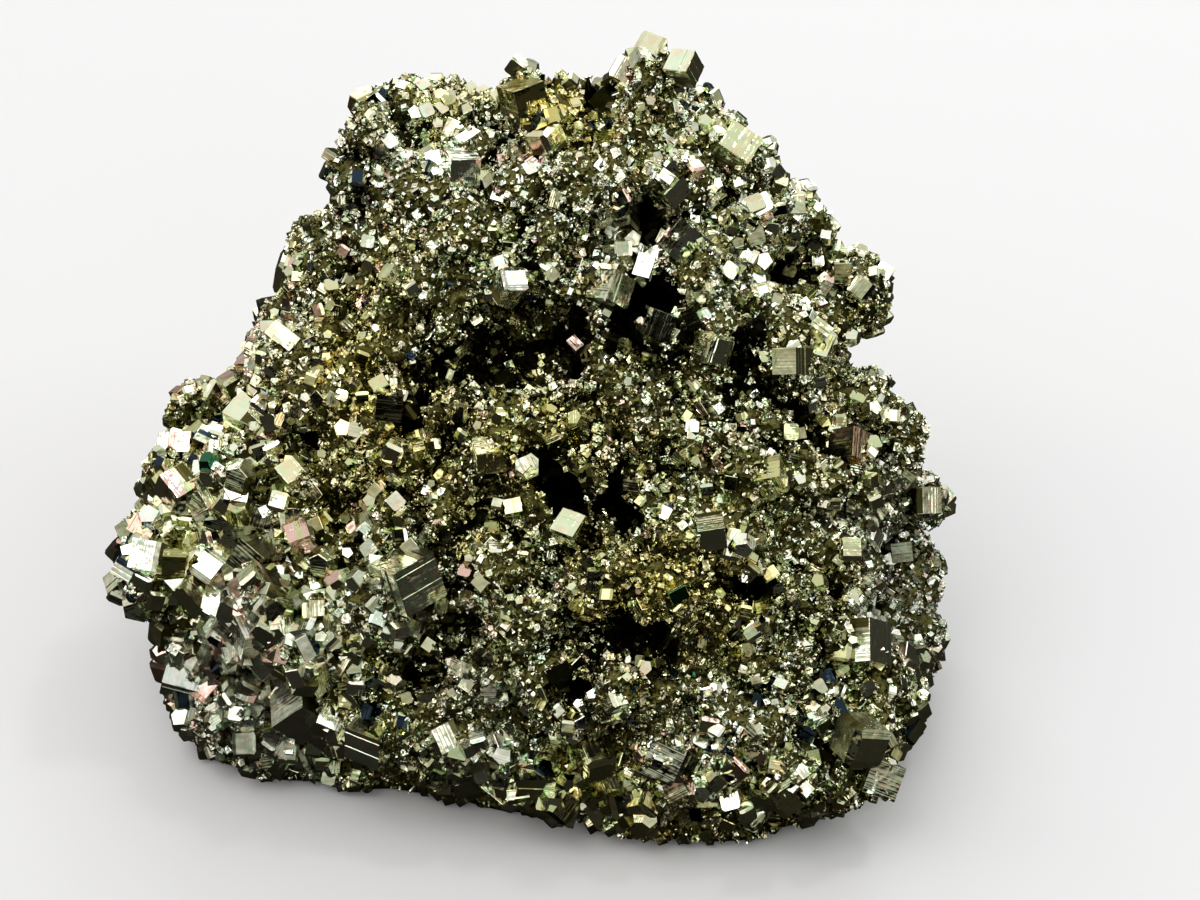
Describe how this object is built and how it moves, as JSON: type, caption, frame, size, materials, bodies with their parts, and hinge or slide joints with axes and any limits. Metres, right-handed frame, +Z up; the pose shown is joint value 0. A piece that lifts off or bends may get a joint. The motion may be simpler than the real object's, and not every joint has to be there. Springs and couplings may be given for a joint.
{
  "type": "pyrite specimen",
  "caption": "Lumpy cluster of intergrown pyrite crystals with knobs, clefts and cavities, broken flat underneath, to stand on a shelf or in a display.",
  "frame": {"origin": "centre of the bounding box's footprint, on the plane of the broken underside", "axes": "+Z up; +X along the longest side of the footprint; the broad face that slopes back to the ridge looks towards -Y"},
  "size_m": [0.1026, 0.0802, 0.0798],
  "materials": {
    "pyrite": "pale brass-yellow pyrite crystal faces, bright metallic, finely striated on the cube faces, duller and greyer where fine-grained, dark in the clefts"
  },
  "bodies": {
    "root": {"pyrite_cluster": "pyrite"}
  },
  "joints": []
}
